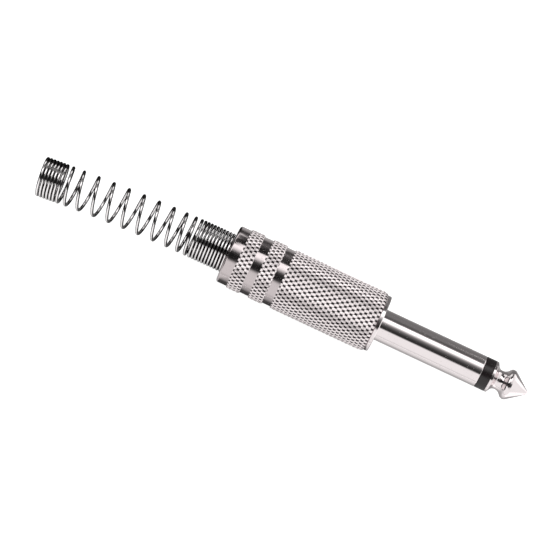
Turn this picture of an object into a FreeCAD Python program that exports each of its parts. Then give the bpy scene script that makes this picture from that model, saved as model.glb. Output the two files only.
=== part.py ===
"""A 6.35 mm two-pole jack plug with a knurled shell and a spring strain relief.

Every piece is a solid of its own. The plug lies along X: the tip points to +X, the cable
leaves towards -X, and the origin is the centre of the shoulder's front face, where the plug
stops against its socket. Lengths are in millimetres and angles in degrees.
"""

import os

import FreeCAD
import Part

from math import ceil, cos, pi, radians, sin, tan

from FreeCAD import Vector

# Barrel that enters the socket, and the shoulder that stops it
barrel_diameter = 6.35
barrel_length = 21.6
shoulder_diameter = 11.5
shoulder_thickness = 0.75
shoulder_chamfer = 0.12

# Thread that carries the shell, drawn at its outer diameter
thread_diameter = 10.0
thread_length = 6.2
thread_relief_length = 0.8
thread_relief_depth = 0.5
thread_chamfer = 0.35

# Rod and tip, one turned piece
rod_diameter = 2.2
tip_flange_length = 0.5
tip_flange_slope = 60.0
tip_neck_diameter = 3.9
tip_neck_length = 2.0
tip_neck_rounding = 1.0
tip_head_diameter = 6.14
tip_head_rounding = 0.93
tip_back_slope = 48.0
tip_cone_slope = 37.0
tip_nose_radius = 0.65
rivet_head_overhang = 0.65
rivet_head_height = 0.6

# Insulators between the rod and the barrel
insulator_ring_length = 1.95
insulator_spigot_length = 1.0
insulator_wall = 0.82
rear_insulator_thickness = 1.0

# Solder terminals, cut and folded from sheet
terminal_sheet = 0.5
terminal_bend_radius = 0.3
ground_disc_diameter = 6.4
ground_strap_width = 2.6
ground_strap_length = 10.5
ground_solder_hole = 1.5
clamp_length = 5.0
clamp_mouth_angle = 120.0
tip_disc_diameter = 4.2
tip_tab_width = 2.0
tip_tab_length = 6.0
tip_solder_hole = 1.1

# Shell: plain collar, knurled bands between plain grooves, and the long knurled grip
shell_mouth_wall = 0.825
knurl_height = 0.325
knurl_end_slope_length = 0.25
rear_collar_length = 2.3
rear_edge_rounding = 0.5
rear_land_length = 2.8
rear_groove_length = 1.85
middle_land_length = 2.95
middle_groove_length = 1.7
grip_length = 18.95
front_bevel_length = 0.9
shell_lip_thickness = 1.2
shell_lead_chamfer = 0.3

# Insulating liner inside the shell
liner_wall = 0.45

# Strain relief spring, wound from round wire
wire_diameter = 0.63
spring_diameter = 7.93
flare_height = 0.5
flare_turns = 2.0
open_pitch = 3.12
close_length = 6.4
opening_turns = 4.8
open_turns = 4.3
closing_turns = 3.4
end_turns = 5.8
bend_radius = 420.0
steps_per_turn = 13
wire_sides = 6

# Roundings are drawn in short straight steps of at most this turn
rounding_step = 60.0
smallest_edge = 0.0001

# Clearances
pressed_gap = 0.03
thread_gap = 0.05
liner_gap = 0.07
seat_gap = 0.1
spring_gap = 0.135
flare_gap = 0.155
clamp_gap = 0.6
turn_gap = 0.03
thread_run_out = 0.5

# Radii that follow from the sizes above
barrel_radius = barrel_diameter / 2
thread_radius = thread_diameter / 2
rod_radius = rod_diameter / 2
rod_hole_radius = rod_radius + pressed_gap
insulator_radius = rod_hole_radius + insulator_wall
barrel_bore_radius = insulator_radius + pressed_gap
rivet_radius = rod_radius + rivet_head_overhang
tip_tab_under = rivet_radius + terminal_bend_radius + seat_gap
tip_tab_top = tip_tab_under + terminal_sheet
wire_radius = wire_diameter / 2
close_pitch = wire_diameter + turn_gap
coil_radius = spring_diameter / 2 - wire_radius
lip_hole_radius = spring_diameter / 2 + spring_gap
shell_bore_radius = spring_diameter / 2 + flare_height + flare_gap
mouth_radius = thread_radius + thread_gap
band_radius = mouth_radius + shell_mouth_wall
knurl_radius = band_radius + knurl_height
liner_radius = shell_bore_radius - liner_gap
clamp_radius = liner_radius - liner_wall - clamp_gap
strap_top_radius = clamp_radius - terminal_sheet
rear_insulator_radius = strap_top_radius - terminal_bend_radius - seat_gap

# Places along the plug, from the tip end to the cable end
ring_front = barrel_length + insulator_ring_length
shoulder_rear = -shoulder_thickness
thread_rear = shoulder_rear - thread_length
ground_disc_rear = thread_rear - terminal_sheet
rear_insulator_rear = ground_disc_rear - rear_insulator_thickness
tip_disc_rear = rear_insulator_rear - terminal_sheet
clamp_front = thread_rear - ground_strap_length
clamp_rear = clamp_front - clamp_length
grip_front = shoulder_rear - front_bevel_length
middle_groove_front = grip_front - grip_length
middle_land_front = middle_groove_front - middle_groove_length
rear_groove_front = middle_land_front - middle_land_length
rear_land_front = rear_groove_front - rear_groove_length
collar_front = rear_land_front - rear_land_length
shell_rear = collar_front - rear_collar_length
lip_front = shell_rear + shell_lip_thickness
flare_rear = lip_front + wire_radius + seat_gap
spring_front = flare_rear + flare_turns * close_pitch
liner_rear = spring_front + wire_radius + seat_gap
liner_front = thread_rear - thread_run_out - seat_gap

# Turns of the spring from its front end to its rear end
hidden_turns = (spring_front - shell_rear) / close_pitch
visible_close_turns = close_length / close_pitch
front_close_turns = hidden_turns + visible_close_turns


def rounded_corner(before, here, after, rounding):
    """Points along the rounding of a corner, each a small turn on from the last."""
    back = (before - here).normalize()
    ahead = (after - here).normalize()
    half = back.getAngle(ahead) / 2
    room = min(before.distanceToPoint(here), after.distanceToPoint(here))
    reach = min(rounding / tan(half), room)
    radius = reach * tan(half)
    centre = here + (back + ahead).normalize() * (radius / sin(half))
    turn = pi - 2 * half
    count = ceil(turn / radians(rounding_step))
    start = here + back * reach - centre
    end = here + ahead * reach - centre
    points = []
    for i in range(count + 1):
        share = i / count
        blend = start * sin(turn * (1 - share)) + end * sin(turn * share)
        points.append(centre + blend * (1 / sin(turn)))
    return points


def outline(corners):
    """A closed outline in the XZ plane from corners of (x, z), or (x, z, rounding)."""
    points = []
    places = [Vector(corner[0], 0, corner[1]) for corner in corners]
    for i, corner in enumerate(corners):
        here = places[i]
        if len(corner) == 2:
            points.append(here)
            continue
        after = places[(i + 1) % len(places)]
        points += rounded_corner(places[i - 1], here, after, corner[2])
    kept = [point for i, point in enumerate(points) if point.distanceToPoint(points[i - 1]) > smallest_edge]
    return Part.makePolygon(kept + kept[:1])


def turned(corners):
    """A piece turned about X from the outline of its half section."""
    face = Part.Face(outline(corners))
    return face.revolve(Vector(0, 0, 0), Vector(1, 0, 0), 360)


def tube(rear, front, inner_radius, outer_radius):
    """A plain tube about X."""
    return turned([(rear, inner_radius), (rear, outer_radius), (front, outer_radius), (front, inner_radius)])


def folded_strip(corners, width):
    """A strip of sheet whose edge has the given outline, centred on the XZ plane."""
    face = Part.Face(outline(corners))
    face.translate(Vector(0, -width / 2, 0))
    return face.extrude(Vector(0, width, 0))


def joined(first, *others):
    """One solid from pieces that meet."""
    shape = first
    for other in others:
        shape = shape.fuse(other)
    return shape.removeSplitter().Solids[0]


def barrel_body():
    """Barrel, shoulder and thread, turned from one bar and bored for the rod's insulator."""
    shoulder_radius = shoulder_diameter / 2
    relief_radius = thread_radius - thread_relief_depth
    relief_rear = shoulder_rear - thread_relief_length
    return turned([
        (thread_rear, barrel_bore_radius),
        (thread_rear, thread_radius - thread_chamfer),
        (thread_rear + thread_chamfer, thread_radius),
        (relief_rear, thread_radius),
        (relief_rear, relief_radius),
        (shoulder_rear, relief_radius),
        (shoulder_rear, shoulder_radius),
        (-shoulder_chamfer, shoulder_radius),
        (0, shoulder_radius - shoulder_chamfer),
        (0, barrel_radius),
        (barrel_length, barrel_radius),
        (barrel_length, barrel_bore_radius),
    ])


def tip_contact():
    """Tip and centre rod in one, its far end riveted over the tip terminal."""
    neck_radius = tip_neck_diameter / 2
    back = radians(tip_back_slope)
    cone = radians(tip_cone_slope)
    flange_front = ring_front + tip_flange_length
    slope_end = flange_front + (barrel_radius - neck_radius) / tan(radians(tip_flange_slope))
    neck_end = flange_front + tip_neck_length
    crown_drop = tip_head_rounding * ((sin(back) + sin(cone)) / sin(back + cone) - 1)
    crown_radius = tip_head_diameter / 2 + crown_drop
    crown = neck_end + (crown_radius - neck_radius) / tan(back)
    nose_flat = tip_nose_radius * tan((pi / 2 - cone) / 2)
    nose = crown + (crown_radius - nose_flat) / tan(cone)
    rivet_rear = tip_disc_rear - rivet_head_height
    return turned([
        (rivet_rear, 0),
        (rivet_rear, rivet_radius, rivet_head_height),
        (tip_disc_rear, rivet_radius),
        (tip_disc_rear, rod_radius),
        (ring_front, rod_radius),
        (ring_front, barrel_radius),
        (flange_front, barrel_radius),
        (slope_end, neck_radius),
        (neck_end, neck_radius, tip_neck_rounding),
        (crown, crown_radius, tip_head_rounding),
        (nose, nose_flat, tip_nose_radius),
        (nose, 0),
    ])


def ring_insulator():
    """The black ring between barrel and tip, with a spigot that centres it in the barrel."""
    spigot_rear = barrel_length - insulator_spigot_length
    return turned([
        (spigot_rear, rod_hole_radius),
        (spigot_rear, insulator_radius),
        (barrel_length, insulator_radius),
        (barrel_length, barrel_radius),
        (ring_front, barrel_radius),
        (ring_front, rod_hole_radius),
    ])


def bore_insulator():
    """The tube that keeps the rod off the barrel and off the ground terminal."""
    return tube(ground_disc_rear, barrel_length - insulator_spigot_length, rod_hole_radius, insulator_radius)


def rear_insulator():
    """The washer between the two terminals."""
    return tube(rear_insulator_rear, ground_disc_rear, rod_hole_radius, rear_insulator_radius)


def ground_terminal():
    """Ground disc, a strap with its solder hole and a cable clamp, folded from one sheet."""
    leg_end = -ground_disc_diameter / 2 + terminal_sheet
    outer_bend = terminal_bend_radius + terminal_sheet
    disc = tube(ground_disc_rear, thread_rear, barrel_bore_radius, ground_disc_diameter / 2)
    strap = folded_strip([
        (thread_rear, leg_end),
        (thread_rear, -clamp_radius, outer_bend),
        (clamp_rear, -clamp_radius),
        (clamp_rear, -strap_top_radius),
        (ground_disc_rear, -strap_top_radius, terminal_bend_radius),
        (ground_disc_rear, leg_end),
    ], ground_strap_width)
    hole_place = Vector((ground_disc_rear + clamp_front) / 2, 0, -clamp_radius)
    hole = Part.makeCylinder(ground_solder_hole / 2, terminal_sheet, hole_place)
    return joined(disc, strap.cut(hole), clamp())


def clamp():
    """The two ears that close round the cable, rolled up and open at the top."""
    inner_radius = strap_top_radius
    reach = radians(180 - clamp_mouth_angle / 2)

    def rim(radius, angle):
        """A point of the clamp's section, at an angle from straight down."""
        return Vector(clamp_rear, radius * sin(angle), -radius * cos(angle))

    outer = Part.Arc(rim(clamp_radius, -reach), rim(clamp_radius, 0), rim(clamp_radius, reach))
    inner = Part.Arc(rim(inner_radius, reach), rim(inner_radius, 0), rim(inner_radius, -reach))
    section = Part.Wire([
        outer.toShape(),
        Part.makeLine(rim(clamp_radius, reach), rim(inner_radius, reach)),
        inner.toShape(),
        Part.makeLine(rim(inner_radius, -reach), rim(clamp_radius, -reach)),
    ])
    return Part.Face(section).extrude(Vector(clamp_length, 0, 0))


def tip_terminal():
    """The tip's solder terminal: a disc under the rivet, with a tab folded back."""
    leg_end = tip_disc_diameter / 2 - terminal_sheet
    tab_rear = tip_disc_rear - tip_tab_length
    disc = tube(tip_disc_rear, rear_insulator_rear, rod_hole_radius, tip_disc_diameter / 2)
    tab = folded_strip([
        (rear_insulator_rear, leg_end),
        (tip_disc_rear, leg_end),
        (tip_disc_rear, tip_tab_under, terminal_bend_radius),
        (tab_rear, tip_tab_under),
        (tab_rear, tip_tab_top),
        (rear_insulator_rear, tip_tab_top, terminal_bend_radius + terminal_sheet),
    ], tip_tab_width)
    hole_place = Vector(tab_rear + tip_tab_width / 2, 0, tip_tab_under)
    hole = Part.makeCylinder(tip_solder_hole / 2, terminal_sheet, hole_place)
    return joined(disc, tab.cut(hole))


def knurled_shell():
    """The shell, with its raised lands, plain grooves, threaded mouth and rear lip."""
    step = thread_rear - thread_run_out
    outside = [
        (shell_rear, lip_hole_radius),
        (shell_rear, band_radius, rear_edge_rounding),
    ]
    lands = [
        (collar_front, rear_land_front),
        (rear_groove_front, middle_land_front),
        (middle_groove_front, grip_front),
    ]
    for rear, front in lands:
        outside += [
            (rear, band_radius),
            (rear + knurl_end_slope_length, knurl_radius),
            (front - knurl_end_slope_length, knurl_radius),
            (front, band_radius),
        ]
    outside[-2:] = [(grip_front, knurl_radius)]
    inside = [
        (shoulder_rear, band_radius - knurl_end_slope_length),
        (shoulder_rear, mouth_radius + shell_lead_chamfer),
        (shoulder_rear - shell_lead_chamfer, mouth_radius),
        (step, mouth_radius),
        (step, shell_bore_radius),
        (lip_front, shell_bore_radius),
        (lip_front, lip_hole_radius),
    ]
    return turned(outside + inside)


def liner_tube():
    """The insulating sleeve that lines the shell between the thread and the spring."""
    return tube(liner_rear, liner_front, liner_radius - liner_wall, liner_radius)


def ease(share):
    """A smooth rise from 0 to 1."""
    share = min(max(share, 0.0), 1.0)
    return share * share * (3 - 2 * share)


def pitch_at(turn):
    """The spring's pitch at a turn: close at both ends, with an open stretch between."""
    opening = ease((turn - front_close_turns) / opening_turns)
    closing_start = front_close_turns + opening_turns + open_turns
    closing = ease((turn - closing_start) / closing_turns)
    return close_pitch + (open_pitch - close_pitch) * (opening - closing)


def coil_radius_at(turn):
    """The radius to the middle of the wire. The hidden front turns are wider than the lip's hole."""
    return coil_radius + flare_height * (1 - ease(2 * turn / flare_turns - 1))


def wire_section(turn, advance):
    """The wire's section at a turn, after an advance along the spring's gently bent middle line."""
    straight = spring_front - shell_rear
    arc = max(advance - straight, 0.0) / bend_radius
    middle = Vector(spring_front - min(advance, straight) - bend_radius * sin(arc), 0, 0)
    middle.y = -bend_radius * (1 - cos(arc))
    along = Vector(-cos(arc), -sin(arc), 0)
    sideways = Vector(-sin(arc), cos(arc), 0)
    angle = -2 * pi * (turn - front_close_turns)
    outward = sideways * cos(angle) + Vector(0, 0, sin(angle))
    ring = []
    for side in range(wire_sides):
        around = 2 * pi * side / wire_sides
        distance = coil_radius_at(turn) + wire_radius * cos(around)
        ring.append(middle + outward * distance + along * (wire_radius * sin(around)))
    return Part.makePolygon(ring + ring[:1])


def strain_spring():
    """The spring, lofted through sections of its wire from the flared front turn to the cut end."""
    turns = front_close_turns + opening_turns + open_turns + closing_turns + end_turns
    steps = ceil(turns * steps_per_turn)
    advance = 0.0
    sections = []
    for step in range(steps + 1):
        turn = step / steps_per_turn
        sections.append(wire_section(turn, advance))
        advance += pitch_at(turn + 0.5 / steps_per_turn) / steps_per_turn
    return Part.makeLoft(sections, True, True)


pieces = {
    "barrel_body": barrel_body,
    "tip_contact": tip_contact,
    "ring_insulator": ring_insulator,
    "bore_insulator": bore_insulator,
    "ground_terminal": ground_terminal,
    "rear_insulator": rear_insulator,
    "tip_terminal": tip_terminal,
    "knurled_shell": knurled_shell,
    "liner_tube": liner_tube,
    "strain_spring": strain_spring,
}

os.makedirs("parts", exist_ok=True)
for name, make in pieces.items():
    shape = make()
    if shape.Volume < 0:
        shape.reverse()
    shape.exportStep(f"parts/{name}.step")
    print(f"{name}: {shape.ShapeType}, {shape.Volume:.1f} cubic mm, valid {shape.isValid()}")
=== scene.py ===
"""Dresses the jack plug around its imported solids: finishes, knurl, threads, smooth forms and studio.

Sizes are in millimetres in the classes below and in metres in the meshes. The frame is that of the
solids: +X towards the tip, +Z up, and the origin at the centre of the shoulder's front face.
"""

from __future__ import annotations

import logging
from collections.abc import Sequence
from dataclasses import dataclass, field
from enum import Enum
from functools import partialmethod
from math import ceil, cos, pi, radians, sin, tan

import bmesh
import bpy
from bpy.types import Material, Mesh, Node, NodeSocket, NodeTree, Object, World
from mathutils import Matrix, Vector

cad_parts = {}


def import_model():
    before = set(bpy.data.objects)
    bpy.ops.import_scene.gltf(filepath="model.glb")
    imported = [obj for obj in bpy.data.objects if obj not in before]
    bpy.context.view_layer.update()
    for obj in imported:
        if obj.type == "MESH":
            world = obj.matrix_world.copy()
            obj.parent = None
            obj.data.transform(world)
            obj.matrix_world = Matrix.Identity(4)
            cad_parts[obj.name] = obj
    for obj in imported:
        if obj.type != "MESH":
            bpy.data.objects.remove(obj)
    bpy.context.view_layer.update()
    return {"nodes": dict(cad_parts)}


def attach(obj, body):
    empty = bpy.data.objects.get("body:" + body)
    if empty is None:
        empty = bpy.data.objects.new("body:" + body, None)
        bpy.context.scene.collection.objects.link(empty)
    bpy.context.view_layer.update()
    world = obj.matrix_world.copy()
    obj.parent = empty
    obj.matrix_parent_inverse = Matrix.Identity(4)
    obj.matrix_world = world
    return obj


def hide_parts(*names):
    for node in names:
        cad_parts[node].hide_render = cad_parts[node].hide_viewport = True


log = logging.getLogger("jack_plug")

MM = 0.001
WELD = 1e-6
FULL_TURN = 2 * pi

# Sizes in millimetres that the spring, the shell and the painted shade on the wire share
WIRE_RADIUS = 0.315
COIL_RADIUS = 3.65
SPRING_BEND = 420.0
SHELL_REAR = -32.2

Colour = tuple[float, float, float]
Spot = tuple[float, float, float]
Range = tuple[float, float]
Span = float | Range


class Body(Enum):
    """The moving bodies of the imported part."""

    PLUG = "plug_body"
    SHELL = "shell"
    RELIEF = "strain_relief"


# Node building


class Graph:
    """A node tree in the making, of shader or geometry nodes."""

    def __init__(self, tree: NodeTree) -> None:
        """Starts on an empty tree."""
        self.tree = tree

    def node(self, kind: str, inputs: dict | None = None, **settings: object) -> Node:
        """Adds a node.

        Args:
            kind: The node's type name.
            inputs: Values or terms for its inputs, by name or number.
            settings: Properties of the node, such as its operation.

        Returns:
            The new node.
        """
        made = self.tree.nodes.new(kind)
        for key, value in settings.items():
            setattr(made, key, value)
        for key, value in (inputs or {}).items():
            self.feed(made.inputs[key], value)
        return made

    def feed(self, socket: NodeSocket, value: object) -> None:
        """Links a term to a socket, or sets the socket's own value.

        Args:
            socket: The input to fill.
            value: A term, a socket or a plain value.
        """
        if isinstance(value, Term):
            value = value.socket
        if isinstance(value, NodeSocket):
            self.tree.links.new(value, socket)
        else:
            socket.default_value = value

    def term(
        self, kind: str, inputs: dict | None = None, output: int | str = 0, **settings: object
    ) -> Term:
        """Adds a node as node() does and gives one of its outputs, by name or number."""
        return Term(self, self.node(kind, inputs, **settings).outputs[output])

    def split(self, vector: Term | NodeSocket) -> list[Term]:
        """The X, Y and Z of a vector."""
        return [Term(self, part) for part in self.node("ShaderNodeSeparateXYZ", {0: vector}).outputs]


class Term:
    """An output of a node tree that can be used in arithmetic."""

    def __init__(self, graph: Graph, socket: NodeSocket) -> None:
        """Wraps an output socket of a tree."""
        self.graph = graph
        self.socket = socket

    def math(self, operation: str, *others: object) -> Term:
        """The result of a math node on this term and others."""
        inputs = dict(enumerate((self, *others)))
        return self.graph.term("ShaderNodeMath", inputs, operation=operation)

    # A remainder is never negative, and floor gives the largest whole number that isn't greater
    __add__ = partialmethod(math, "ADD")
    __sub__ = partialmethod(math, "SUBTRACT")
    __mul__ = partialmethod(math, "MULTIPLY")
    __truediv__ = partialmethod(math, "DIVIDE")
    __mod__ = partialmethod(math, "FLOORED_MODULO")
    floor = partialmethod(math, "FLOOR")
    least = partialmethod(math, "MINIMUM")
    most = partialmethod(math, "MAXIMUM")

    def __rsub__(self, other: object) -> Term:
        """Difference from a plain number."""
        return self.math("MULTIPLY_ADD", -1.0, other)

    def within(self, low: object, high: object) -> Term:
        """Held between two limits."""
        return self.most(low).least(high)


def empty_tree(owner: Material | World) -> NodeTree:
    """Clears the nodes of a material or of the world.

    Args:
        owner: The material or the world.

    Returns:
        Its node tree.
    """
    owner.use_nodes = True
    owner.node_tree.nodes.clear()
    return owner.node_tree


def show(thing: Object) -> Object:
    """Puts an object into the scene and gives it back."""
    bpy.context.scene.collection.objects.link(thing)
    return thing


class Recipe(Graph):
    """A Geometry Nodes tree with named inputs, which makes one mesh."""

    def __init__(self, name: str) -> None:
        """Starts a tree that gives one geometry.

        Args:
            name: The tree's name.
        """
        super().__init__(bpy.data.node_groups.new(name, "GeometryNodeTree"))
        self.tree.interface.new_socket("Geometry", in_out="OUTPUT", socket_type="NodeSocketGeometry")
        self.entry = self.tree.nodes.new("NodeGroupInput")
        self.exit = self.tree.nodes.new("NodeGroupOutput")
        self.inputs: dict[str, tuple[str, float]] = {}
        self.coat = self.socket("Material", "NodeSocketMaterial")

    def socket(self, name: str, kind: str) -> str:
        """Adds a named input of some kind and gives its identifier."""
        return self.tree.interface.new_socket(name, in_out="INPUT", socket_type=kind).identifier

    def sizes(self, *names: str, unit: float = 1.0) -> list[Term]:
        """Adds named inputs that hold numbers.

        Args:
            names: The inputs' names.
            unit: What their values are multiplied by, such as MM for lengths.

        Returns:
            The inputs as terms.
        """
        for name in names:
            field_name = name.lower().replace(" ", "_")
            self.inputs[field_name] = (self.socket(name, "NodeSocketFloat"), unit)
        return [Term(self, self.entry.outputs[name]) for name in names]

    def move(self, geometry: Term, x: Term, y: Term, z: Term) -> Term:
        """Puts each point of a geometry at a new place."""
        position = self.term("ShaderNodeCombineXYZ", {0: x, 1: y, 2: z})
        return self.term("GeometryNodeSetPosition", {"Geometry": geometry, "Position": position})

    def note(self, geometry: Term, name: str, value: Term) -> Term:
        """Keeps a named number with each point of a geometry, for the finish to use."""
        inputs = {"Geometry": geometry, "Name": name, "Value": value}
        return self.term("GeometryNodeStoreNamedAttribute", inputs, data_type="FLOAT", domain="POINT")

    def around(self, geometry: Term, x: Term, radius: Term, turn: Term) -> Term:
        """Puts each point round X, where turn is a share of a full turn from +Y towards +Z."""
        angle = turn * FULL_TURN
        return self.move(geometry, x, radius * angle.math("COSINE"), radius * angle.math("SINE"))

    def lattice(self, columns: Term, rows: Term) -> tuple[Term, Term, Term]:
        """A flat grid of unit squares.

        Args:
            columns: Number of squares along X.
            rows: Number of squares along Y.

        Returns:
            The grid, and each point's column and row, counted from 0.
        """
        sizes = {"Size X": columns, "Size Y": rows, "Vertices X": columns + 1, "Vertices Y": rows + 1}
        grid = self.term("GeometryNodeMeshGrid", sizes, "Mesh")
        x, y, _ = self.split(self.term("GeometryNodeInputPosition"))
        return grid, x + columns * 0.5, y + rows * 0.5

    def close(self, geometry: Term) -> None:
        """Ends the tree: welds the mesh, makes it real and gives it its material.

        Args:
            geometry: The finished geometry.
        """
        material = Term(self, self.entry.outputs["Material"])
        welded = self.term("GeometryNodeMergeByDistance", {"Geometry": geometry, "Distance": WELD})
        real = self.term("GeometryNodeRealizeInstances", {"Geometry": welded})
        done = self.term("GeometryNodeSetMaterial", {"Geometry": real, "Material": material})
        self.feed(self.exit.inputs[0], done)

    def grow(self, finish: Finish, values: dict[str, object]) -> Mesh:
        """Runs the tree and gives its result as a plain mesh.

        Args:
            finish: The surface's finish.
            values: Values under the inputs' names, written like fields, with lengths in
                millimetres. Those that no input is named after are left out.

        Returns:
            The mesh, in metres.
        """
        host = show(bpy.data.objects.new("host", bpy.data.meshes.new("seed")))
        modifier = host.modifiers.new("recipe", "NODES")
        modifier.node_group = self.tree
        for name, (identifier, unit) in self.inputs.items():
            modifier[identifier] = values[name] * unit
        modifier[self.coat] = finish.material()
        graph = bpy.context.evaluated_depsgraph_get()
        mesh = bpy.data.meshes.new_from_object(host.evaluated_get(graph))
        host.modifiers.remove(modifier)
        bpy.data.objects.remove(host)
        return mesh


# How fast the noted depth of a hollow falls off along the plug and round it
PIT_SHARPNESS = (1.5, 0.85)


def knurl_recipe() -> Recipe:
    """The tree of one knurled land: two crossing families of helical grooves round a cylinder.

    The grid's squares are cut along the grooves, so that every groove and crest is a clean edge.
    Each point notes how near it is to a crest and to a hollow, for the finish, which paints a highlight on
    the crests and shade in the hollows.

    Returns:
        The tree.
    """
    tree = Recipe("knurled_land")
    starts, rows, samples, lip, roundness = tree.sizes("Starts", "Rows", "Samples", "Lip", "Roundness")
    rear, front, root, height, lift = tree.sizes("Rear", "Front", "Root Radius", "Height", "Lift", unit=MM)
    rear_bevel, front_bevel, front_drop = tree.sizes("Rear Bevel", "Front Bevel", "Front Drop", unit=MM)
    columns = starts * samples
    grid, column, row = tree.lattice(columns, rows + 2)
    even = (column.floor() + row.floor()) % 2
    for way, chosen in (("FIXED", even), ("FIXED_ALTERNATE", 1 - even)):
        inputs = {"Mesh": grid, "Selection": chosen}
        grid = tree.term("GeometryNodeTriangulate", inputs, quad_method=way)
    step = (row - 1).within(0.0, rows)
    wall = (row - 1 - step).math("ABSOLUTE")
    x = rear + (front - rear) * step / rows
    rises, shifts = [], []
    for phase in (column + step, column - step + columns):
        shift = (phase / samples + 0.5) % 1.0 - 0.5
        rise = shift.math("ABSOLUTE") * 2
        rises.append(rise * (rise * roundness * -1 + roundness + 1))
        shifts.append(shift)
    diamond = rises[0].least(rises[1])
    length_off = (shifts[0] - shifts[1]).math("ABSOLUTE") * PIT_SHARPNESS[0]
    round_off = (shifts[0] + shifts[1]).math("ABSOLUTE") * PIT_SHARPNESS[1]
    pit = 1 - length_off.most(round_off).least(1.0)
    furrow = 1 - (rises[0] + rises[1]) * 0.5
    hollow = (pit + furrow) * 0.5
    at_rear = lip + (1 - lip) * (x - rear) / rear_bevel
    at_front = lip + (1 - lip) * (front - x) / front_bevel
    level = diamond.least(at_rear).least(at_front) * (1 - wall)
    fall = front_drop * (1 - (front - x) / front_bevel).within(0.0, 1.0)
    grid = tree.note(grid, "crest", diamond * (1 - wall))
    grid = tree.note(grid, "groove", hollow * (1 - wall))
    foot = root + (1 - wall) * lift - fall
    tree.close(tree.around(grid, x, foot + height * level, column / columns))
    return tree


def thread_recipe() -> Recipe:
    """The tree of a right-hand thread, as the surface between two ends on a cylinder.

    Four lines of points follow each turn: the two edges of the crest and the two of the root.

    Returns:
        The tree.
    """
    tree = Recipe("screw_thread")
    segments, flat = tree.sizes("Segments", "Flat")
    pitch, rear, front = tree.sizes("Pitch", "Rear", "Front", unit=MM)
    root, depth, bevel = tree.sizes("Root Radius", "Depth", "Bevel", unit=MM)
    first = (rear / pitch).floor() - 1
    turns = ((front - rear) / pitch).math("CEIL") + 3
    grid, column, row = tree.lattice(segments, turns * 4 + 2)
    line = (row - 1).within(0.0, turns * 4)
    wall = (row - 1 - line).math("ABSOLUTE")
    pair = (line / 2).floor()
    side = (line % 2) * 2 - 1
    turn = column / segments
    x = ((first + pair * 0.5 + side * flat * 0.5 + turn) * pitch).within(rear, front)
    phase = (x / pitch - turn) % 1.0
    rise = (0.5 - (phase - 0.5).math("ABSOLUTE") - flat * 0.5) / (0.5 - flat)
    ends = (x - rear).least(front - x) / bevel
    level = rise.within(0.0, 1.0).least(ends.within(0.0, 1.0)) * (1 - wall)
    tree.close(tree.around(grid, x, root + depth * level, turn))
    return tree


def spring_recipe() -> Recipe:
    """The tree of the strain relief: a wire that winds along a gently bent middle line.

    The pitch rises and falls smoothly, and its sum along the turns is worked out exactly.

    Returns:
        The tree.
    """
    tree = Recipe("wound_spring")
    wire, coil, flare, bend = tree.sizes("Wire Radius", "Coil Radius", "Flare", "Bend Radius", unit=MM)
    close, opened, front = tree.sizes("Close Pitch", "Open Pitch", "Front", unit=MM)
    (straight,) = tree.sizes("Straight Length", unit=MM)
    turns, flare_turns, close_turns = tree.sizes("Turns", "Flare Turns", "Close Turns")
    opening, open_turns, closing = tree.sizes("Opening Turns", "Open Turns", "Closing Turns")
    steps, sides = tree.sizes("Steps", "Sides")

    def eased(share: Term) -> Term:
        """A smooth rise from 0 to 1."""
        held = share.within(0.0, 1.0)
        return held * held * (3 - held * 2)

    def eased_sum(share: Term) -> Term:
        """The sum of the smooth rise, from 0 up to a share."""
        held = share.within(0.0, 1.0)
        return held * held * held * (1 - held * 0.5) + (share - 1).most(0.0)

    line = tree.term("GeometryNodeMeshLine", {"Count": turns * steps + 1})
    turn = tree.term("GeometryNodeInputIndex") / steps
    since_open = turn - close_turns
    since_close = since_open - opening - open_turns
    wider = eased_sum(since_open / opening) * opening - eased_sum(since_close / closing) * closing
    advance = turn * close + wider * (opened - close)
    arc = (advance - straight).most(0.0) / bend
    radius = coil + flare * (1 - eased(turn * 2 / flare_turns - 1))
    angle = since_open * -FULL_TURN
    outward = radius * angle.math("COSINE")
    x = front - advance.least(straight) - (bend + outward) * arc.math("SINE")
    y = (bend + outward) * arc.math("COSINE") - bend
    z = radius * angle.math("SINE")
    path = tree.term("GeometryNodeMeshToCurve", {"Mesh": tree.move(line, x, y, z)})
    ring = tree.term("GeometryNodeCurvePrimitiveCircle", {"Resolution": sides, "Radius": wire})
    sweep = {"Curve": path, "Profile Curve": ring, "Fill Caps": True}
    tree.close(tree.term("GeometryNodeCurveToMesh", sweep))
    return tree


# Turned forms

NEARLY_STRAIGHT = radians(89)


@dataclass(frozen=True)
class Corner:
    """A corner of a turned outline: place along the axis, radius and rounding, in millimetres."""

    x: float
    r: float
    rounding: float = 0.0


def smooth_outline(corners: Sequence[Corner], step: float = 7.0) -> list[tuple[float, float]]:
    """Draws an outline through corners, with arcs at those that have a rounding.

    Args:
        corners: The corners in order. The first and the last stay sharp.
        step: The largest turn between two points of an arc, in degrees.

    Returns:
        Points of (x, r) in millimetres.
    """
    points = [(corners[0].x, corners[0].r)]
    for before, here, after in zip(corners, corners[1:], corners[2:]):
        at = Vector((here.x, here.r))
        back = Vector((before.x, before.r)) - at
        ahead = Vector((after.x, after.r)) - at
        room = min(back.length, ahead.length)
        half = back.angle(ahead) / 2
        if here.rounding <= 0 or half > NEARLY_STRAIGHT:
            points.append((here.x, here.r))
            continue
        back.normalize()
        ahead.normalize()
        reach = min(here.rounding / tan(half), room)
        radius = reach * tan(half)
        centre = at + (back + ahead).normalized() * (radius / sin(half))
        turn = pi - 2 * half
        count = max(2, ceil(turn / radians(step)))
        start = at + back * reach - centre
        end = at + ahead * reach - centre
        for i in range(count + 1):
            share = i / count
            spoke = start * sin(turn * (1 - share)) + end * sin(turn * share)
            spot = centre + spoke / sin(turn)
            points.append((spot.x, max(spot.y, 0.0)))
    points.append((corners[-1].x, corners[-1].r))
    return points


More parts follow.
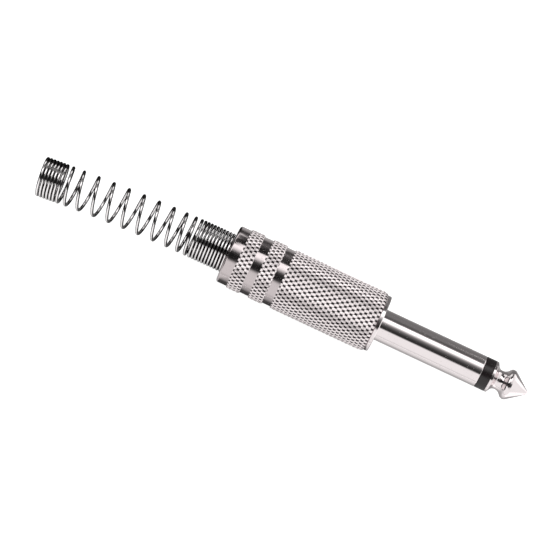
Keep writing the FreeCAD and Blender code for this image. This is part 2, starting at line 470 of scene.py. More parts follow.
class Form:
    """A mesh in the making, in metres."""

    def __init__(self) -> None:
        """Starts with nothing."""
        self.mesh = bmesh.new()

    def turn(self, corners: Sequence[Corner], segments: int) -> Form:
        """Adds the surface of an outline turned about X.

        Args:
            corners: The outline's corners. Both ends are open, or on the axis, or the same corner.
            segments: The number of faces round the axis.

        Returns:
            This form.
        """
        rings = []
        for x, r in smooth_outline(corners):
            if r <= 0:
                rings.append([self.mesh.verts.new((x * MM, 0, 0))] * segments)
                continue
            spots = [FULL_TURN * i / segments for i in range(segments)]
            rings.append([
                self.mesh.verts.new((x * MM, r * MM * cos(a), r * MM * sin(a))) for a in spots
            ])
        for ring, following in zip(rings, rings[1:]):
            for i in range(segments):
                j = (i + 1) % segments
                around = [ring[i], ring[j], following[j], following[i]]
                kept = list(dict.fromkeys(around))
                if len(kept) > 2:
                    self.mesh.faces.new(kept)
        return self

    def add(self, mesh: Mesh) -> Form:
        """Adds a grown mesh and drops its data.

        Args:
            mesh: A mesh in metres.

        Returns:
            This form.
        """
        self.mesh.from_mesh(mesh)
        bpy.data.meshes.remove(mesh)
        return self

    def stand_in(self, name: str, node: str, body: Body, finish: Finish, crease: float = 32.0) -> None:
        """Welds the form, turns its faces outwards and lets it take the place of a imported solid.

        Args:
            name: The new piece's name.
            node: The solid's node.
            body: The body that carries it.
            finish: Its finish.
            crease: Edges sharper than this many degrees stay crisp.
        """
        bmesh.ops.remove_doubles(self.mesh, verts=self.mesh.verts, dist=WELD)
        bmesh.ops.recalc_face_normals(self.mesh, faces=self.mesh.faces)
        open_edges = sum(not edge.is_manifold for edge in self.mesh.edges)
        mesh = bpy.data.meshes.new(name)
        self.mesh.to_mesh(mesh)
        self.mesh.free()
        mesh.shade_smooth()
        mesh.set_sharp_from_angle(angle=radians(crease))
        mesh.materials.clear()
        mesh.materials.append(finish.material())
        for polygon in mesh.polygons:
            polygon.material_index = 0
        piece = show(bpy.data.objects.new(name, mesh))
        log.info("%s: %d faces, %d open edges", name, len(mesh.polygons), open_edges)
        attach(piece, body.value)
        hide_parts(node)


# Finishes


class Paint(Graph):
    """The nodes of one material, round its surface shader."""

    def __init__(self, tree: NodeTree) -> None:
        """Starts with a surface shader, joined to the material's output.

        Args:
            tree: The material's empty tree.
        """
        super().__init__(tree)
        self.shader = self.node("ShaderNodeBsdfPrincipled")
        self.node("ShaderNodeOutputMaterial", {"Surface": self.shader.outputs[0]})

    def put(self, name: str, value: object) -> None:
        """Feeds the named input of the shader."""
        self.feed(self.shader.inputs[name], value)

    def so_far(self, name: str) -> Term:
        """What the named input of the shader is fed with."""
        return Term(self, self.shader.inputs[name].links[0].from_socket)

    def own_place(self, stretch: Spot = (1.0, 1.0, 1.0)) -> Term:
        """The piece's own coordinates, stretched per axis."""
        place = self.node("ShaderNodeTexCoord").outputs["Object"]
        return self.term("ShaderNodeMapping", {"Vector": place, "Scale": stretch})

    def noise(self, scale: float | Spot, detail: float = 3.0) -> Term:
        """Smooth noise from about 0 to 1.

        Args:
            scale: How fine it is, on all axes or per axis.
            detail: How many finer layers it has.

        Returns:
            The noise.
        """
        stretched = isinstance(scale, tuple)
        place = self.own_place(scale) if stretched else self.own_place()
        inputs = {"Vector": place, "Scale": 1.0 if stretched else scale, "Detail": detail}
        return self.term("ShaderNodeTexNoise", inputs)

    def remap(self, value: Term, spread: Range, low: float = 0.0, high: float = 1.0) -> Term:
        """A value moved from one range to another and held there."""
        ends = {"From Min": spread[0], "From Max": spread[1], "To Min": low, "To Max": high}
        return self.term("ShaderNodeMapRange", {"Value": value, **ends})

    def mixed(self, share: Term, first: Term | Colour, second: Colour) -> Term:
        """A colour between two, of which the first may come from other nodes.

        Args:
            share: How much of the second colour shows.
            first: The first colour.
            second: The second colour.

        Returns:
            The colour.
        """
        made = self.node("ShaderNodeMix", data_type="RGBA")
        first = first if isinstance(first, Term) else (*first, 1.0)
        factor = next(socket for socket in made.inputs if socket.type == "VALUE")
        colours = [socket for socket in made.inputs if socket.type == "RGBA"]
        for socket, value in zip((factor, *colours), (share, first, (*second, 1.0))):
            self.feed(socket, value)
        return Term(self, next(socket for socket in made.outputs if socket.type == "RGBA"))

    def blend(self, share: Term, colour: Colour) -> None:
        """Mixes a further colour into the base colour."""
        self.put("Base Color", self.mixed(share, self.so_far("Base Color"), colour))

    def bump(self, height: Term, depth: float, strength: float) -> None:
        """Raises the surface's shading by a height, with a depth in metres."""
        inputs = {"Height": height, "Distance": depth, "Strength": strength}
        self.put("Normal", self.term("ShaderNodeBump", inputs))


@dataclass(frozen=True)
class Finish:
    """What every finish has: a name, a slot name, a colour and a roughness."""

    name: str
    slot: str
    colour: Colour
    roughness: float

    def material(self) -> Material:
        """The finish's material, made once.

        Returns:
            The material.
        """
        known = bpy.data.materials.get(self.name)
        if known:
            return known
        made = bpy.data.materials.new(self.name)
        made.diffuse_color = (*self.colour, 1.0)
        paint = Paint(empty_tree(made))
        paint.put("Base Color", (*self.colour, 1.0))
        paint.put("Roughness", self.roughness)
        self.dress(paint)
        return made

    def dress(self, paint: Paint) -> None:
        """Adds what sets this finish apart."""
        raise NotImplementedError


@dataclass(frozen=True)
class PlatedMetal(Finish):
    """Nickel plate, with fine lines along or round the piece, small specks and uneven polish."""

    line_stretch: Spot = (300.0, 5200.0, 5200.0)
    line_depth: float = 0.0000012
    line_strength: float = 0.35
    cloud_scale: float = 420.0
    speck_scale: float = 2600.0
    speck_range: Range = (0.7, 0.76)
    speck_depth: float = 0.6
    speck_roughness: float = 0.2
    speck_share: float = 0.25
    haze: float = 0.06
    haze_range: Range = (0.35, 0.75)
    tarnish: Colour = (0.42, 0.37, 0.36)
    tarnish_share: float = 0.1
    tarnish_range: Range = (0.5, 0.9)

    def dress(self, paint: Paint) -> None:
        """Adds the metal's lines, specks and haze.

        Args:
            paint: The material's nodes.
        """
        paint.put("Metallic", 1.0)
        lines = paint.noise(self.line_stretch, 2.0)
        clouds = paint.noise(self.cloud_scale)
        speck = paint.remap(paint.noise(self.speck_scale, 1.0), self.speck_range)
        haze = paint.remap(clouds, self.haze_range, 0.0, self.haze)
        paint.put("Roughness", haze + self.roughness + speck * self.speck_roughness)
        share = paint.remap(clouds, self.tarnish_range, 0.0, self.tarnish_share)
        paint.put("Base Color", paint.mixed(share + speck * self.speck_share, self.colour, self.tarnish))
        paint.bump(lines - speck * self.speck_depth, self.line_depth, self.line_strength)


@dataclass(frozen=True)
class KnurledMetal(PlatedMetal):
    """Nickel plate on the shell, with a painted highlight on the crests and painted shade in the bottoms
    of the grooves.
    """

    crest_highlight_range: Range = (0.06, 0.3)
    crest_painted_highlight: Colour = (0.98, 0.9, 0.905)
    groove_shade_range: Range = (0.4, 0.59)
    groove_painted_shade: Colour = (0.018, 0.015, 0.016)
    knurl_haze: float = 0.06
    knurl_matte: float = 0.5
    knurl_onset: float = 4.0

    def dress(self, paint: Paint) -> None:
        """Adds the plate's finish, then what the knurl's depth does to it: a painted highlight on the
        crests, painted shade in the hollows, more haze and less metal.

        Args:
            paint: The material's nodes.
        """
        super().dress(paint)
        crest = paint.term("ShaderNodeAttribute", output="Fac", attribute_name="crest")
        groove = paint.term("ShaderNodeAttribute", output="Fac", attribute_name="groove")
        # Painted highlight: the crests take a bright colour
        paint.blend(paint.remap(crest, self.crest_highlight_range), self.crest_painted_highlight)
        # Painted shade: the bottoms of the grooves and the pits take a dark colour
        paint.blend(paint.remap(groove, self.groove_shade_range), self.groove_painted_shade)
        share = ((crest + groove) * self.knurl_onset).least(1.0)
        paint.put("Roughness", share * self.knurl_haze + paint.so_far("Roughness"))
        paint.put("Metallic", 1 - share * self.knurl_matte)


@dataclass(frozen=True)
class WireMetal(PlatedMetal):
    """Plated spring wire: polished along the outside of the coil, with painted shade at its flanks and
    inside.
    """

    # Colour of the painted shade on the wire's flanks, which fades out between flank_start and flank_end
    # shares of the wire's radius
    dark: Colour = (0.012, 0.011, 0.011)
    flank_start: float = 0.78
    flank_end: float = 0.93

    def dress(self, paint: Paint) -> None:
        """Adds the plate's finish, then paints shade on the wire away from the coil's outside.

        Args:
            paint: The material's nodes.
        """
        super().dress(paint)
        x, y, z = paint.split(paint.own_place())
        bent = (SHELL_REAR * MM - x).most(0.0)
        offset = y - bent * bent / (-2 * SPRING_BEND * MM)
        radius = (offset * offset + z * z).math("SQRT")
        flank = (radius - COIL_RADIUS * MM).math("ABSOLUTE")
        spread = (WIRE_RADIUS * self.flank_start * MM, WIRE_RADIUS * self.flank_end * MM)
        # Painted shade on the wire's flanks, where the turns face each other
        paint.blend(paint.remap(flank, spread, 1.0, 0.0), self.dark)


@dataclass(frozen=True)
class UnevenFinish(Finish):
    """Plastic, board or tinned sheet: patches of a second colour, uneven gloss and fine lines."""

    second: Colour
    second_share: float = 1.0
    second_range: Range = (0.0, 1.0)
    metallic: float = 0.0
    patches: float | Spot = 2400.0
    patch_detail: float = 3.0
    patch_height: float = 1.0
    lines: Spot = (9000.0, 60.0, 60.0)
    line_detail: float = 1.0
    line_height: float = 0.5
    gloss_range: Range = (0.3, 0.7)
    gloss_change: float = 0.12
    depth: float = 0.000004
    strength: float = 0.3

    def dress(self, paint: Paint) -> None:
        """Adds the patches, what they do to the gloss, and the lines.

        Args:
            paint: The material's nodes.
        """
        paint.put("Metallic", self.metallic)
        patches = paint.noise(self.patches, self.patch_detail)
        lines = paint.noise(self.lines, self.line_detail)
        share = paint.remap(patches, self.second_range, 0.0, self.second_share)
        paint.put("Base Color", paint.mixed(share, self.colour, self.second))
        rougher = self.roughness + self.gloss_change
        paint.put("Roughness", paint.remap(patches, self.gloss_range, self.roughness, rougher))
        height = patches * self.patch_height + lines * self.line_height
        paint.bump(height, self.depth, self.strength)


BRIGHT_NICKEL = PlatedMetal("bright_nickel_plate", "bright_nickel", (0.85, 0.785, 0.79), 0.07)
SHELL_NICKEL = KnurledMetal(
    "knurled_nickel_plate", "shell_nickel", (0.58, 0.52, 0.525), 0.12, line_stretch=(5200.0, 260.0, 260.0)
)
SPRING_CHROME = WireMetal(
    "spring_wire_plate", "spring_wire", (0.95, 0.92, 0.92), 0.035,
    line_stretch=(2600.0, 2600.0, 2600.0), haze=0.02
)
BLACK_PLASTIC = UnevenFinish(
    "black_moulded_plastic", "black_insulator", (0.006, 0.0036, 0.004), 0.22, (0.012, 0.008, 0.009)
)
LINER_FILM = UnevenFinish(
    "rolled_liner_film", "liner_plastic", (0.02, 0.02, 0.022), 0.3, (0.02, 0.014, 0.015)
)
BROWN_BOARD = UnevenFinish(
    "brown_washer_board", "washer_board", (0.22, 0.105, 0.045), 0.6, (0.36, 0.2, 0.1),
    second_share=0.8, second_range=(0.35, 0.7), patches=(5200.0, 1400.0, 1400.0), patch_detail=4.0,
    line_height=0.0, gloss_change=0.0, depth=0.00001, strength=0.5
)
TINNED = UnevenFinish(
    "tinned_terminal_sheet", "tinned_sheet", (0.78, 0.77, 0.73), 0.28, (0.5, 0.48, 0.45),
    second_share=0.6, second_range=(0.4, 0.75), metallic=1.0, patches=700.0, patch_height=0.0,
    lines=(350.0, 6000.0, 6000.0), line_detail=3.0, line_height=1.0, gloss_change=0.15
)


# Sub-assemblies


@dataclass
class ThreadSize:
    """The thread that joins the barrel body and the shell: 10 mm by 0.75 mm, right-hand."""

    pitch: float = 0.75
    root_radius: float = 4.54
    depth: float = 0.46
    flat: float = 0.146
    running_gap: float = 0.05

    def surface(
        self, recipe: Recipe, finish: Finish, ends: Range, segments: int, gap: float, bevel: float
    ) -> Mesh:
        """Grows one side of the thread.

        Args:
            recipe: The thread's tree.
            finish: The metal's finish.
            ends: The ends towards the cable and towards the tip.
            segments: Faces round the axis.
            gap: How much further out than the barrel's thread the surface lies.
            bevel: Length over which the crests fall away at the ends.

        Returns:
            The thread's surface.
        """
        values = {
            "rear": ends[0],
            "front": ends[1],
            "root_radius": self.root_radius + gap,
            "bevel": bevel,
            "segments": segments,
        }
        return recipe.grow(finish, vars(self) | values)


@dataclass
class PlugBody:
    """The barrel body, the tip and what is fixed between and behind them."""

    segments: int = 128
    barrel_radius: float = 3.175
    barrel_length: float = 21.6
    front_rounding: float = 0.28
    bore_radius: float = 1.98
    bore_chamfer: float = 0.12
    bore_edge: float = 0.05
    shoulder_radius: float = 5.75
    shoulder_thickness: float = 0.75
    shoulder_chamfer: float = 0.12
    fillet: float = 0.15
    thread_rear: float = -6.95
    thread_bevel: float = 0.3
    relief_rear: float = -1.55
    relief_radius: float = 4.5
    ring_front: float = 23.55
    ring_spigot_rear: float = 20.6
    spigot_radius: float = 1.95
    rod_radius: float = 1.1
    rod_hole_radius: float = 1.13
    rivet_radius: float = 1.75
    rivet_height: float = 0.6
    rivet_front: float = -8.95
    flange_thickness: float = 0.5
    flange_edges: Range = (0.05, 0.1)
    flange_slope: float = 60.0
    neck_radius: float = 1.95
    neck_length: float = 2.0
    neck_roundings: Range = (1.0, 1.4)
    back_slope: float = 48.0
    cone_slope: float = 37.0
    crown_level: float = 3.07
    crown_rounding: float = 0.93
    nose_radius: float = 0.65
    edge: float = 0.06
    thread: ThreadSize = field(default_factory=ThreadSize)

    def barrel(self, recipe: Recipe) -> None:
        """Barrel, shoulder, thread relief and the real thread, in one.

        Args:
            recipe: The thread's tree.
        """
        rear, root = self.thread_rear, self.thread.root_radius
        form = Form().turn([
            Corner(rear, root),
            Corner(rear, self.bore_radius + self.bore_chamfer),
            Corner(rear + self.bore_chamfer, self.bore_radius),
            Corner(self.barrel_length - self.bore_edge, self.bore_radius),
            Corner(self.barrel_length, self.bore_radius + self.bore_edge),
            Corner(self.barrel_length, self.barrel_radius, self.front_rounding),
            Corner(0, self.barrel_radius, self.fillet),
            Corner(0, self.shoulder_radius - self.shoulder_chamfer, self.edge),
            Corner(-self.shoulder_chamfer, self.shoulder_radius, self.edge),
            Corner(-self.shoulder_thickness, self.shoulder_radius, self.edge),
            Corner(-self.shoulder_thickness, self.relief_radius, self.fillet),
            Corner(self.relief_rear, self.relief_radius, self.fillet),
            Corner(self.relief_rear, root),
        ], self.segments)
        ends = (rear, self.relief_rear)
        form.add(self.thread.surface(
            recipe, BRIGHT_NICKEL, ends, self.segments, 0.0, self.thread_bevel
        ))
        form.stand_in("plated_barrel", "barrel_body", Body.PLUG, BRIGHT_NICKEL)

    def tip(self) -> None:
        """Tip, waist, flange, centre rod and rivet head, in one."""
        back, cone = radians(self.back_slope), radians(self.cone_slope)
        flange_front = self.ring_front + self.flange_thickness
        flange_step = (self.barrel_radius - self.neck_radius) / tan(radians(self.flange_slope))
        neck_end = flange_front + self.neck_length
        rounded_off = (sin(back) + sin(cone)) / sin(back + cone) - 1
        crown_radius = self.crown_level + self.crown_rounding * rounded_off
        crown = neck_end + (crown_radius - self.neck_radius) / tan(back)
        nose_flat = self.nose_radius * tan((pi / 2 - cone) / 2)
        nose = crown + (crown_radius - nose_flat) / tan(cone)
        rivet_rear = self.rivet_front - self.rivet_height
        Form().turn([
            Corner(rivet_rear, 0),
            Corner(rivet_rear, self.rivet_radius, self.rivet_height),
            Corner(self.rivet_front, self.rivet_radius),
            Corner(self.rivet_front, self.rod_radius),
            Corner(self.ring_front, self.rod_radius),
            Corner(self.ring_front, self.barrel_radius, self.flange_edges[0]),
            Corner(flange_front, self.barrel_radius, self.flange_edges[1]),
            Corner(flange_front + flange_step, self.neck_radius, self.neck_roundings[0]),
            Corner(neck_end, self.neck_radius, self.neck_roundings[1]),
            Corner(crown, crown_radius, self.crown_rounding),
            Corner(nose, nose_flat, self.nose_radius),
            Corner(nose, 0),
        ], self.segments).stand_in("plated_tip", "tip_contact", Body.PLUG, BRIGHT_NICKEL)

    def ring(self) -> None:
        """The black ring between barrel and tip."""
        start = Corner(self.ring_spigot_rear, self.rod_hole_radius)
        Form().turn([
            start,
            Corner(self.ring_spigot_rear, self.spigot_radius, self.edge),
            Corner(self.barrel_length, self.spigot_radius),
            Corner(self.barrel_length, self.barrel_radius, self.edge),
            Corner(self.ring_front, self.barrel_radius, self.edge),
            Corner(self.ring_front, self.rod_hole_radius),
            start,
        ], self.segments).stand_in("black_ring", "ring_insulator", Body.PLUG, BLACK_PLASTIC)

    def build(self, thread_tree: Recipe) -> None:
        """Makes and dresses the pieces of the plug's body.

        Args:
            thread_tree: The thread's tree.
        """
        self.barrel(thread_tree)
        self.tip()
        self.ring()


@dataclass
class ScrewShell:
    """The shell: plain collar, knurled lands between plain grooves, and the knurled grip."""

    starts: int = 41
    samples: int = 8
    pitch: float = 1.62
    band_radius: float = 5.875
    lift: float = 0.115
    height: float = 0.21
    roundness: float = 0.4
    lip: float = 0.3
    land_bevel: float = 0.25
    bevel_length: float = 0.78
    bevel_drop: float = 0.16
    collar_front: float = -29.9
    rear_land_front: float = -27.1
    rear_groove_front: float = -25.25
    middle_land_front: float = -22.3
    middle_groove_front: float = -20.6
    knurl_front: float = -0.87
    front: float = -0.75
    front_radius: float = 5.625
    lip_front: float = -31.0
    lip_hole_radius: float = 4.1
    bore_radius: float = 4.62
    bore_rounding: float = 0.1
    thread_step: float = -7.45
    thread_bevel: float = 0.02
    mouth_radius: float = 5.05
    lead_chamfer: float = 0.3
    edge: float = 0.05
    hole_rounding: float = 0.12
    rear_rounding: float = 0.5
    crease: float = 24.0
    thread: ThreadSize = field(default_factory=ThreadSize)

    def land(self, recipe: Recipe, ends: Range, bevel: float, drop: float) -> Mesh:
        """Grows one knurled land.

        Args:
            recipe: The knurl's tree.
            ends: The ends towards the cable and towards the tip.
            bevel: Length of the bevel at the front end.
            drop: How far the grooves' bottom falls over that bevel.

        Returns:
            The land's surface.
        """
        values = {
            "rows": round((ends[1] - ends[0]) / (self.pitch / self.samples)),
            "rear": ends[0],
            "front": ends[1],
            "root_radius": self.band_radius,
            "rear_bevel": self.land_bevel,
            "front_bevel": bevel,
            "front_drop": drop,
        }
        return recipe.grow(SHELL_NICKEL, vars(self) | values)

    def build(self, knurl_tree: Recipe, thread_tree: Recipe) -> None:
        """Makes the shell and dresses it.

        Args:
            knurl_tree: The knurl's tree.
            thread_tree: The thread's tree.
        """
        segments = self.starts * self.samples
        thread_front = self.front - self.lead_chamfer
        female_root = self.thread.root_radius + self.thread.running_gap
        rear_land = (self.collar_front, self.rear_land_front)
        middle_land = (self.rear_groove_front, self.middle_land_front)
        grip = (self.middle_groove_front, self.knurl_front)
        form = Form()
        form.add(self.land(knurl_tree, rear_land, self.land_bevel, 0.0))
        form.add(self.land(knurl_tree, middle_land, self.land_bevel, 0.0))
        form.add(self.land(knurl_tree, grip, self.bevel_length, self.bevel_drop))
        for rear, front in ((rear_land[1], middle_land[0]), (middle_land[1], grip[0])):
            form.turn([Corner(rear, self.band_radius), Corner(front, self.band_radius)], segments)
        form.turn([
            Corner(self.knurl_front, self.band_radius - self.bevel_drop),
            Corner(self.front, self.front_radius, self.edge),
            Corner(self.front, self.mouth_radius + self.lead_chamfer, self.edge),
            Corner(thread_front, self.mouth_radius),
            Corner(thread_front, female_root),
        ], segments)
        form.add(self.thread.surface(
            thread_tree, SHELL_NICKEL, (self.thread_step, thread_front), segments,
            self.thread.running_gap, self.thread_bevel
        ))
        form.turn([
            Corner(self.thread_step, female_root),
            Corner(self.thread_step, self.bore_radius),
            Corner(self.lip_front, self.bore_radius, self.bore_rounding),
            Corner(self.lip_front, self.lip_hole_radius, self.edge),
            Corner(SHELL_REAR, self.lip_hole_radius, self.hole_rounding),
            Corner(SHELL_REAR, self.band_radius, self.rear_rounding),
            Corner(self.collar_front, self.band_radius),
        ], segments)
        form.stand_in("knurled_grip_shell", "knurled_shell", Body.SHELL, SHELL_NICKEL, self.crease)


@dataclass
class StrainRelief:
    """The spring: close turns in the shell, opening to wide turns, and close turns at its end."""

    flare: float = 0.5
    flare_turns: float = 2.0
    close_pitch: float = 0.66
    open_pitch: float = 3.12
    front: float = -29.265
    close_length: float = 6.4
    opening_turns: float = 4.8
    open_turns: float = 4.3
    closing_turns: float = 3.4
    end_turns: float = 5.8
    steps: int = 48
    sides: int = 14
    crease: float = 60.0

    def build(self, recipe: Recipe) -> None:
        """Winds the spring and dresses it.

        Args:
            recipe: The spring's tree.
        """
        straight = self.front - SHELL_REAR
        close_turns = (straight + self.close_length) / self.close_pitch
        later_turns = (self.opening_turns, self.open_turns, self.closing_turns, self.end_turns)
        values = {
            "wire_radius": WIRE_RADIUS,
            "coil_radius": COIL_RADIUS,
            "bend_radius": SPRING_BEND,
            "straight_length": straight,
            "close_turns": close_turns,
            "turns": sum(later_turns, close_turns),
        }
        form = Form().add(recipe.grow(SPRING_CHROME, vars(self) | values))
        form.stand_in("wound_spring_wire", "strain_spring", Body.RELIEF, SPRING_CHROME, self.crease)


def dress_solids(nodes: dict[str, Object]) -> None:
    """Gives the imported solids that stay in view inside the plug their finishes.

    Args:
        nodes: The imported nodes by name.
    """
    finishes = {
        "bore_insulator": BLACK_PLASTIC,
        "ground_terminal": TINNED,
        "rear_insulator": BROWN_BOARD,
        "tip_terminal": TINNED,
        "liner_tube": LINER_FILM,
    }
    for name, finish in finishes.items():
        solid = nodes[name]
        solid.data.materials.clear()
        solid.data.materials.append(finish.material())
        log.info("%s: %s", name, finish.name)


# Studio

WHITE = (1.0, 1.0, 1.0, 1.0)


def rectangle(x: Span, y: Span, z: Span) -> list[Spot]:
    """The corners of a rectangle that is flat along the axis given as one number.

    Args:
        x: Its place or its two ends along X, in millimetres.
        y: The same along Y.
        z: The same along Z.

    Returns:
        The four corners, in order.
    """
    spots = []
    for i, j in ((0, 0), (1, 0), (1, 1), (0, 1)):
        if not isinstance(x, tuple):
            spots.append((x, y[i], z[j]))
        elif not isinstance(y, tuple):
            spots.append((x[i], y, z[j]))
        else:
            spots.append((x[i], y[j], z))
    return spots


@dataclass
class Studio:
    """Floor, soft light, reflected cards and the camera, which looks down on the plug."""

    floor_level: float = -6.21
    floor_half: float = 1500.0
    floor_colour: Colour = (0.5, 0.5, 0.5)
    floor_glow: float = 0.8
    room_light: float = 0.45
    centre: Range = (-21.0, -0.44)
    roll: float = 25.1
    distance: float = 430.0
    lens: float = 143.2

    def sheet(self, name: str, corners: Sequence[Spot]) -> Object:
        """A flat four-cornered stage piece.

        Args:
            name: Its name.
            corners: Its corners in millimetres, in order.

        Returns:
            The piece.
        """
        mesh = bpy.data.meshes.new(name)
        mesh.from_pydata([tuple(c * MM for c in corner) for corner in corners], [], [(0, 1, 2, 3)])
        made = show(bpy.data.objects.new(name, mesh))
        paint = bpy.data.materials.new(f"{name}_paint")
        mesh.materials.append(paint)
        return made

    @staticmethod
    def seen_rays(graph: Graph) -> Term:
        """Tells the rays that see the stage from those that light it.

        Args:
            graph: The tree to work in.

        Returns:
            1 for rays from the camera, in reflections and through glass, else 0.
        """
        rays = graph.node("ShaderNodeLightPath")
        seen = Term(graph, rays.outputs["Is Camera Ray"])
        for name in ("Is Glossy Ray", "Is Transmission Ray"):
            seen = seen.most(Term(graph, rays.outputs[name]))
        return seen

    def floor(self) -> None:
        """The pale floor: white to the camera and in reflections, and it keeps the shadow."""
        span = (-self.floor_half, self.floor_half)
        plane = self.sheet("pale_floor", rectangle(span, span, self.floor_level))
        graph = Graph(empty_tree(plane.data.materials[0]))
        matt = graph.term("ShaderNodeBsdfDiffuse", {"Color": (*self.floor_colour, 1.0)})
        strength = self.seen_rays(graph) * self.floor_glow
        glow = graph.term("ShaderNodeEmission", {"Color": WHITE, "Strength": strength})
        both = graph.term("ShaderNodeAddShader", {0: matt, 1: glow})
        graph.node("ShaderNodeOutputMaterial", {"Surface": both})

    def card(self, name: str, corners: Sequence[Spot], levels: dict[float, float]) -> None:
        """A card that shows only in reflections and shades smoothly along one axis.

        Args:
            name: Its name.
            corners: Its corners in millimetres.
            levels: Brightness, where 1 is white, at places along Y for a level card and along Z
                for a standing one, in millimetres.
        """
        made = self.sheet(name, corners)
        graph = Graph(empty_tree(made.data.materials[0]))
        axis = 1 if corners[0][2] == corners[2][2] else 2
        along = graph.split(graph.term("ShaderNodeTexCoord", output="Object"))[axis]
        spots = sorted(levels)
        level = None
        for low, high in zip(spots, spots[1:]):
            inputs = {"Value": along, "From Min": low * MM, "From Max": high * MM}
            step = graph.term("ShaderNodeMapRange", inputs) * (levels[high] - levels[low])
            level = step + levels[low] if level is None else level + step
        glow = graph.term("ShaderNodeEmission", {"Color": WHITE, "Strength": level})
        graph.node("ShaderNodeOutputMaterial", {"Surface": glow})
        for kind in ("camera", "diffuse", "shadow", "transmission"):
            setattr(made, f"visible_{kind}", False)

    def boxes(self) -> None:
        """What hangs over the plug: a dark band round the camera between bright soft boxes."""
        top = 520.0
        under = top - 1
        near, far = -top * tan(radians(27)), top * tan(radians(53.6))
        left, box_end, middle, right = -900.0, -270.0, 150.0, 800.0
        gap, near_gap = 126.0, 164.0
        self.card("shell_box", rectangle((left, 0), (near, far), top), {
            near: 0.94, -207: 0.63, -168: 0.12, -120: 0.02, 40: 0.01, 112: 0.04, 149: 0.125, 187: 0.41,
            228: 0.93, 271: 1.13, 317: 1.55, 368: 1.75, far: 1.8,
        })
        self.card("shaft_box", rectangle((0, middle), (near, far), top), {
            near: 0.95, -207: 0.4, -180: 0.04, -73: 0.03, 0: 0.06, 68: 0.12, 139: 0.2, 199: 0.4, 276: 0.9,
            338: 1.4, 406: 1.8, far: 1.8,
        })
        self.card("end_box", [
            (left, 1.4 * gap, under), (box_end, gap, under), (box_end, far, under), (left, far, under)
        ], {gap: 1.5, far: 1.8})
        self.card("near_end_box", [
            (left, 1.6 * near, under), (box_end, near, under), (box_end, -near_gap, under),
            (left, -1.4 * near_gap, under)
        ], {near: 1.2, -near_gap: 1.2})
        self.card("dark_end_card", rectangle((middle, right), (1.5 * near, far), top), {
            1.5 * near: 0.9, -190: 0.7, -130: 0.04, 100: 0.04, 160: 0.8, far: 0.95
        })

    def surroundings(self) -> None:
        """What stands beside the plug and lies round it, close to the floor. Four cards on the floor
        darken towards the plug, a painted shadow of it that shows only in reflections.
        """
        side, cable_end, tip = 260.0, -300.0, 75.0
        low, high = self.floor_level + 0.1, side * tan(radians(37))
        self.card("spring_side_card", rectangle((-220, -52), side, (84, 269)), {84: 0.02, 269: 0.02})
        self.card("shell_side_card", rectangle((-52, 0), side, (low, high)), {
            0: 0.1, 9: 0.08, 55: 0.04, 105: 0.02, high: 0.02
        })
        self.card("shaft_side_card", rectangle((0, tip), side, (low, 182)), {
            0: 0.2, 46: 0.17, 80: 0.11, 125: 0.11, 160: 0.2, 182: 0.45
        })
        self.card("cable_end_card", rectangle(cable_end, (-side, side), (low, 200)), {0: 0.05, 200: 0.05})
        self.card("near_side_card", rectangle((-520, tip), -side, (low, 60)), {
            0: 0.72, 46: 0.95, 60: 1.0
        })
        # Painted shadow of the plug on the floor, seen only in reflections: darker towards the plug
        self.card("shell_ground_card", rectangle((-33, 0), (-140, 2), low), {
            -140: 0.7, -40: 0.62, -27: 0.5, -20: 0.22, -16: 0.08, 2: 0.04
        })
        # Painted shadow of the plug on the floor, seen only in reflections: darker towards the plug
        self.card("shaft_ground_card", rectangle((0, 36), (-140, 2), low), {
            -140: 1.0, -60: 0.95, -20: 0.85, -10: 0.5, -3: 0.3, 2: 0.2
        })
        self.card("far_shell_ground_card", rectangle((-33, -16), (2, side), low), {
            2: 0.6, 11: 0.54, 14: 0.45, 17: 0.28, 21: 0.075, 28: 0.075, 41: 0.15, 140: 0.13, side: 0.1
        })
        self.card("far_shaft_ground_card", [
            (-2, 2, low), (41, 2, low), (45, side, low), (-2, side, low)
        ], {2: 0.45, 8: 0.3, 12: 0.2, 20: 0.19, 60: 0.19, side: 0.2})
        # Painted shadow of the spring on the floor, seen only in reflections: darker towards the spring
        self.card("near_spring_ground_card", rectangle((cable_end, -33), (-140, 2), low), {
            -140: 1.0, -24: 0.9, -10: 0.6, -3: 0.2, 2: 0.02
        })
        # Painted shadow of the spring on the floor, seen only in reflections: darker towards the spring
        self.card("spring_ground_card", rectangle((cable_end, -33), (2, side), low), {
            2: 0.01, 14: 0.02, 40: 0.05, 60: 0.9, side: 0.9
        })

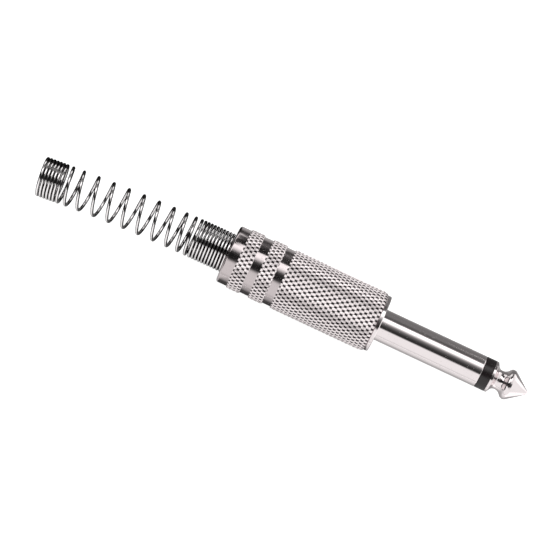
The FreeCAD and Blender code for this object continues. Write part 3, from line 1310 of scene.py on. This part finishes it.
    def world(self) -> None:
        """White where it is seen or reflected, and dim as light."""
        made = bpy.data.worlds.new("white_room")
        bpy.context.scene.world = made
        graph = Graph(empty_tree(made))
        strength = self.seen_rays(graph) * (1 - self.room_light) + self.room_light
        light = graph.term("ShaderNodeBackground", {"Color": WHITE, "Strength": strength})
        graph.node("ShaderNodeOutputWorld", {"Surface": light})

    def lamp(self, name: str, place: Spot, size: float, power: float) -> None:
        """A soft square lamp that looks at the plug and isn't reflected.

        Args:
            name: Its name.
            place: Where it stands, in millimetres.
            size: Its side, in millimetres.
            power: Its power in watts.
        """
        data = bpy.data.lights.new(name, "AREA")
        data.size = size * MM
        data.energy = power
        made = show(bpy.data.objects.new(name, data))
        at = Vector(place) * MM
        middle = Vector((self.centre[0] * MM, 0, 0))
        turn = (middle - at).to_track_quat("-Z", "Y")
        made.matrix_world = Matrix.Translation(at) @ turn.to_matrix().to_4x4()
        made.visible_glossy = False

    def camera(self) -> None:
        """The camera straight above the plug, rolled so that the tip points to the lower right."""
        data = bpy.data.cameras.new("camera")
        data.lens = self.lens
        data.sensor_width = 36.0
        data.clip_start = 0.01
        data.clip_end = 20.0
        made = show(bpy.data.objects.new("camera", data))
        spot = Matrix.Translation(Vector((*self.centre, self.distance)) * MM)
        made.matrix_world = spot @ Matrix.Rotation(radians(self.roll), 4, "Z")
        bpy.context.scene.camera = made

    def build(self) -> None:
        """Sets the whole stage."""
        self.floor()
        self.boxes()
        self.surroundings()
        self.world()
        self.lamp("key_lamp", (-60, 330, 380), 300, 1.6)
        self.lamp("fill_lamp", (60, -380, 360), 400, 0.8)
        self.camera()
        bpy.context.scene.view_settings.view_transform = "Standard"


def main() -> None:
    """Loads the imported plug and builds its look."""
    logging.basicConfig(level=logging.INFO, format="%(name)s %(message)s")
    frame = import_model()
    thread_tree = thread_recipe()
    Studio().build()
    PlugBody().build(thread_tree)
    ScrewShell().build(knurl_recipe(), thread_tree)
    StrainRelief().build(spring_recipe())
    dress_solids(frame["nodes"])
    bpy.context.view_layer.update()


if __name__ == "__main__":
    main()
